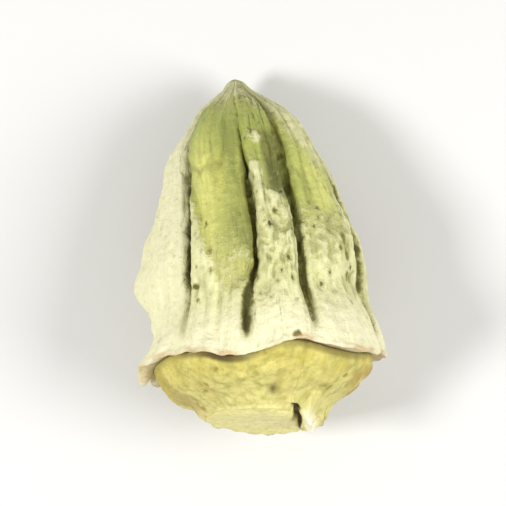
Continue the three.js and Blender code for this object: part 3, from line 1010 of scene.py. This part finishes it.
# The feet of lost hairs are dark dots, 0.2 to 0.3 mm wide and about 0.8 mm apart. Round each
# foot the bloom is thin, so a soft grey spot about 0.6 mm wide shows there.
dot_map = add(skin, "VectorMath", {0: maps["in_mm"], 1: (1.25, 0.85, 1.25)}, operation="MULTIPLY")
dots = add(skin, "TexVoronoi", {"Vector": dot_map, "Scale": 1.0, "Randomness": 1.0}, give="Distance")
dot_edge = add(skin, "Math", {0: grains, 1: -0.45, 2: dots}, operation="MULTIPLY_ADD")
bloom_layers = [
    (bloom_share, bloom_colour),
    (pit_share, pit_colour),
    (in_part(skin, skin_at["freckle"], dot_edge, 0.2, -0.05, most=0.6, **soft_step), linear("#979c66")),
    (in_part(skin, skin_at["freckle"], dot_edge, -0.02, -0.1, **soft_step), linear("#4b4722")),
    # Painted shade darkens the valleys of the wrinkles.
    (weak["painted_wrinkle_shade"], linear("#8a8844")),
]
for layer, colour in bloom_layers:
    skin_colour = add(skin, "Mix", {"Factor": layer, "A": skin_colour, "B": colour}, data_type="RGBA")
print("layers of bloom:", len(bloom_layers))

# %% The pale collar, stains, seams, folds, scabs and the brown edge of the lip
collar_colour = add(skin, "Mix", {
    "Factor": grains, "A": linear("#e6e0aa"), "B": linear("#f6f2d6")}, data_type="RGBA")
scab_sum = ragged(skin, skin_at["scab"], bits, 1.2)
scab_colour = add(skin, "Mix", {
    "Factor": add(skin, "MapRange", {"Value": scab_sum, "From Min": 0.55, "From Max": 1.1}),
    "A": linear("#756f28"), "B": linear("#413d0a")}, data_type="RGBA")
stain_share, crease_share, scab_share = [
    add(skin, "MapRange", {"Value": amount, "From Min": low, "From Max": high, "To Max": most}, **soft_step)
    for amount, low, high, most in (
        (ragged(skin, skin_at["stain"], fibres, 1.2), 0.35, 0.85, 0.8),
        (ragged(skin, skin_at["crease"], grains, 1.0), 0.2, 0.7, 0.9), (scab_sum, 0.2, 0.8, 0.92))]
mark_layers = [
    (weak["collar"], collar_colour),
    (stain_share, linear("#8a6a3c")),
    # Painted shade: a soft olive flank along each seam.
    (in_part(skin, skin_at["painted_seam_shade"], fibres, 0.3, 0.6, 0.35, 0.75), linear("#8b8b48")),
    (crease_share, linear("#7b7433")),
    (scab_share, scab_colour),
    (in_part(skin, skin_at["edge"], patches, 0.4, 0.58, most=0.75), linear("#b98a4c")),
]
for layer, colour in mark_layers:
    skin_colour = add(skin, "Mix", {"Factor": layer, "A": skin_colour, "B": colour}, data_type="RGBA")
print("layers of marks:", len(mark_layers))

# %% [markdown]
# ## Gloss and the finest bumps of the skin
# Wrinkles are in the mesh already. What is finer than the net, the grain of the bloom and the
# fibres, is done with a bump less than a fifth of a millimetre high. That only bends the light.

# %% Skin shader
skin_bump_height = 0.00018
skin_ior = 1.45

skin_height = fibres
for pattern, height in ((grains, 0.6), (dust, 0.4), (bloom_share, 0.5)):
    skin_height = add(skin, "Math", {0: pattern, 1: height, 2: skin_height}, operation="MULTIPLY_ADD")
coat(pod_skin, skin, {
    "Base Color": skin_colour, "IOR": skin_ior,
    "Roughness": add(skin, "MapRange", {"Value": bloom_share, "To Min": 0.5, "To Max": 0.82}),
    "Normal": add(skin, "Bump", {"Strength": 0.85, "Distance": skin_bump_height, "Height": skin_height})})

# %% [markdown]
# ## The corky cap
# The cap is dried green stalk tissue that has turned to ochre cork. It is dry and even, with an
# IOR of 1.45 and a roughness of about 0.75. It is palest by the cut, and painted shade and shadow
# with some brown stain darken it right under the lip. Small brown flecks are scattered over it.

# %% Maps of the cork
cork = bare_finish("dried_stalk_cork")
cork_mm = add(cork, "VectorMath", {0: add(cork, "TexCoord", give="Object"), 1: mm_per_metre},
              operation="MULTIPLY")
ray_map = add(cork, "VectorMath", {
    0: add(cork, "Attribute", attribute_name="flow_mm", give="Vector"), 1: (1.5, 1.5, 0.3)},
    operation="MULTIPLY")
cork_at = {label: add(cork, "Attribute", attribute_name=label, give="Fac")
           for label in cap_values if label != "flow_mm"}
# Patterns: map, scale, detail, roughness, distortion. Clouds are 1.7 mm wide and crumbs 0.4 mm,
# rays run to the stalk 0.7 mm apart, and patches of greener tissue, 0.5 to 0.8 mm wide, show.
cloud, crumb, rays, mottle = [
    add(cork, "TexNoise", {"Vector": place, "Scale": scale, "Detail": detail, "Roughness": rough,
                           "Distortion": twist}, give="Fac")
    for place, scale, detail, rough, twist in (
        (cork_mm, 0.6, 3.0, 0.5, 0.0), (cork_mm, 2.6, 3.0, 0.65, 0.0),
        (ray_map, 1.0, 3.0, 0.5, 0.0), (cork_mm, 1.3, 3.0, 0.5, 0.4))]
# Flecks sit about 1.6 mm apart, with crumbly edges.
flecks = add(cork, "TexVoronoi", {"Vector": cork_mm, "Scale": 0.62, "Randomness": 1.0}, give="Distance")
fleck_edge = add(cork, "Math", {0: crumb, 1: -0.3, 2: flecks}, operation="MULTIPLY_ADD")
print("marks on the cork:", list(cork_at))

# %% Shares and colours of the cork
# Shares: what each is read from, where it starts, where it is full, and how much it covers then.
crumb_share, ray_share, pale_end, painted_shade_under_lip, painted_split_shade = [
    add(cork, "MapRange", {"Value": value, "From Min": low, "From Max": high, "To Max": most})
    for value, low, high, most in (
        (crumb, 0.5, 0.72, 0.75), (rays, 0.55, 0.75, 0.5), (cork_at["depth"], 0.22, 0.88, 0.72),
        (cork_at["depth"], 0.09, 0.0, 0.6), (cork_at["split"], 0.35, 0.8, 0.9))]
mottle_share, fleck_share = [
    add(cork, "MapRange", {"Value": value, "From Min": low, "From Max": high, "To Max": most}, **soft_step)
    for value, low, high, most in ((mottle, 0.42, 0.72, 0.75), (fleck_edge, 0.06, -0.06, 0.8))]
# Painted shade in the furrows of the cork; the cracks of the pith are faintly darker.
painted_furrow_shade, crack_share = [
    add(cork, "Math", {0: cork_at[label], 1: most}, operation="MULTIPLY")
    for label, most in (("furrow", 0.55), ("crack", 0.12))]
cork_colour, pith = [
    add(cork, "Mix", {
        "Factor": add(cork, "MapRange", {"Value": value, "From Min": low, "From Max": high}),
        "A": linear(first), "B": linear(second)}, data_type="RGBA")
    for value, low, high, first, second in (
        (cloud, 0.3, 0.7, "#bcaf50", "#dcd076"), (cork_at["rim"], 0.35, 0.85, "#f6edae", "#f3e9a0"))]
cork_layers = [
    (crumb_share, linear("#b3a24a")), (ray_share, linear("#e6dd98")), (pale_end, linear("#e0d894")),
    # Painted shade right under the lip, then the lip's painted shadow with its brown stain and the round
    # spot.
    (mottle_share, linear("#aaa553")), (painted_shade_under_lip, linear("#9a9050")),
    (cork_at["lip_shadow_stain_and_spot"], linear("#54401a")), (fleck_share, linear("#978438")),
    # Painted shade in the furrows.
    (cork_at["brown"], linear("#a98648")), (painted_furrow_shade, linear("#9c8338")),
    (in_part(cork, cork_at["cut"], crumb, 0.3, 0.65, 0.95, 0.5), pith),
    (crack_share, linear("#a99a5e")), (cork_at["tongue"], linear("#fbf7e0")),
    # Painted shade inside the split.
    (painted_split_shade, linear("#4a3d1c")),
]
for layer, colour in cork_layers:
    cork_colour = add(cork, "Mix", {"Factor": layer, "A": cork_colour, "B": colour}, data_type="RGBA")
print("layers of cork:", len(cork_layers))

# %% Cork shader
cork_bump_height = 0.00016
cork_ior = 1.45

cork_height = add(cork, "Math", {0: rays, 1: 0.5, 2: crumb}, operation="MULTIPLY_ADD")
coat(cap_skin, cork, {
    "Base Color": cork_colour, "IOR": cork_ior,
    "Roughness": add(cork, "MapRange", {"Value": crumb, "To Min": 0.65, "To Max": 0.85}),
    "Normal": add(cork, "Bump", {"Strength": 0.8, "Distance": cork_bump_height, "Height": cork_height})})

# %% [markdown]
# ## Tying the skins to the imported model
# Each skin stands for one imported node and hides it. It rides on the model's single body.

# %% Ride and replace
for piece, node, slot in ((pod_skin, "pod_body", "pod_skin"), (cap_skin, "stalk_cap", "cap_skin")):
    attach(piece, "root")
    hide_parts(node)
    print(piece.name, "stands for", node)

# %% [markdown]
# ## A pale table and soft light
# The pod lies on a matt off-white table. A small soft lamp stands high at its left and a wider,
# softer one at its right, and pale surroundings fill the shadows. The left lamp is the harder of
# the two, so it draws the ribs and seams.

# %% Table
# Half the table's width, in metres.
reach = 0.6
table_mesh = bpy.data.meshes.new("table")
table_mesh.from_pydata([(-reach, -reach, 0), (reach, -reach, 0), (reach, reach, 0), (-reach, reach, 0)],
                       [], [(0, 1, 2, 3)])
table = new_object("table", table_mesh)
coat(table, bare_finish("matt_white_card"), {"Base Color": linear("#dedddb"), "Roughness": 0.9})
table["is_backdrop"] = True

# %% Lamps and surroundings
room_strength = 0.42
pod_middle = Vector((0, 0, 0.008))
# Lamps: name, place, width, watts.
for name, place, width, watts in (("lamp_left", (-0.13, -0.02, 0.175), 0.05, 0.30),
                                  ("lamp_right", (0.15, -0.04, 0.17), 0.12, 0.36)):
    light = bpy.data.lights.new(name, "AREA")
    light.size = width
    light.energy = watts
    lamp = new_object(name, light)
    lamp.location = place
    lamp.rotation_euler = (pod_middle - Vector(place)).to_track_quat("-Z", "Y").to_euler()
    print(name, "gives", watts, "W")

surroundings = bpy.data.worlds.new("pale_room")
surroundings.use_nodes = True
surroundings.node_tree.nodes["Background"].inputs["Color"].default_value = linear("#ffffff")
surroundings.node_tree.nodes["Background"].inputs["Strength"].default_value = room_strength
bpy.context.scene.world = surroundings
bpy.context.scene.view_settings.view_transform = "Standard"

# %% [markdown]
# ## The camera
# The camera looks almost straight down on the pod through a long lens, so the pod is drawn with
# next to no perspective. It is turned a little about its own axis, which leans the tip left.

# %% Camera
height_angle = math.radians(86.0)
lean = math.radians(5.1)
# How much the picture shows from side to side, in metres, and the lens in millimetres.
view_width = 0.037
focal_length = 200

look = Vector((0, math.cos(height_angle), -math.sin(height_angle)))
level_right = Vector((1, 0, 0))
level_up = level_right.cross(look)
right = level_right * math.cos(lean) - level_up * math.sin(lean)
up = level_up * math.cos(lean) + level_right * math.sin(lean)

lens = bpy.data.cameras.new("long_lens")
lens.lens = focal_length
lens.clip_start = 0.01
lowest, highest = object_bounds()
middle = (lowest + highest) / 2
camera = new_object("camera", lens)
camera.matrix_world = Matrix((
    (right.x, up.x, -look.x, 0), (right.y, up.y, -look.y, 0), (right.z, up.z, -look.z, 0), (0, 0, 0, 1)))
camera.location = middle - look * (view_width * lens.lens / lens.sensor_width)
bpy.context.scene.camera = camera
print("camera", round((camera.location - middle).length * 1000), "mm away")

# %% [markdown]
# ## The size of the dressed pod
# The dressed pod stays inside the imported model's box, but for the tongue of the stalk and the
# rough cap, which stand a little past its back.

dressed_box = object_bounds()
for axis, packed, dressed in zip("xyz", zip(*packed_box), zip(*dressed_box)):
    print(axis, [round(v * 1000, 2) for v in packed], "->", [round(v * 1000, 2) for v in dressed])
